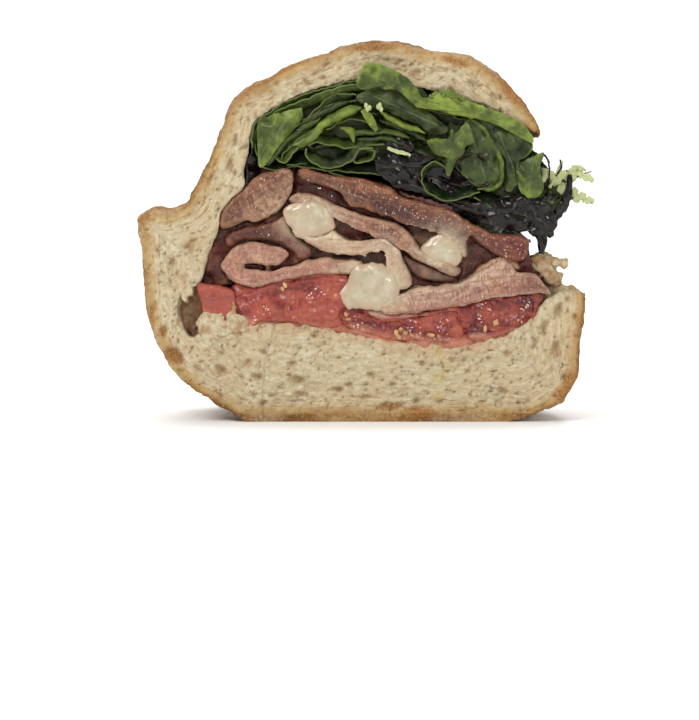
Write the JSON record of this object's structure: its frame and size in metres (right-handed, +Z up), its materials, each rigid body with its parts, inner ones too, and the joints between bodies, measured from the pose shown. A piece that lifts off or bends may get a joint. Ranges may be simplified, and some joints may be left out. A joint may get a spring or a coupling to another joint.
{
  "type": "filled roll sandwich half",
  "caption": "Half of a crusty roll sandwich, cut across to show salad leaves, bacon, mayonnaise and tomato, resting on its base crust.",
  "frame": {"origin": "middle of the flat base crust that the half rests on, halfway between the cut face and the rounded end", "axes": "+Z up; -Y out of the cut face, which shows the filling; +X towards the roll's open side, with the hinge at -X"},
  "size_m": [0.1034, 0.0665, 0.0857],
  "materials": {
    "bread": "matte crumb and crust",
    "tomato": "wet",
    "bacon": "greasy sheen",
    "mayonnaise": "glossy",
    "salad": "waxy leaf"
  },
  "bodies": {
    "root": {"bread_roll": "bread", "salad": "salad", "tomato_end": "tomato", "tomato_left": "tomato", "tomato_middle": "tomato", "tomato_right": "tomato", "bacon_bottom": "bacon", "bacon_left_fold": "bacon", "bacon_third": "bacon", "bacon_second": "bacon", "bacon_dark": "bacon", "bacon_top": "bacon", "bacon_upper_left": "bacon", "bacon_left_red": "bacon", "mayonnaise_left": "mayonnaise", "mayonnaise_right": "mayonnaise", "mayonnaise_middle": "mayonnaise"}
  },
  "joints": []
}
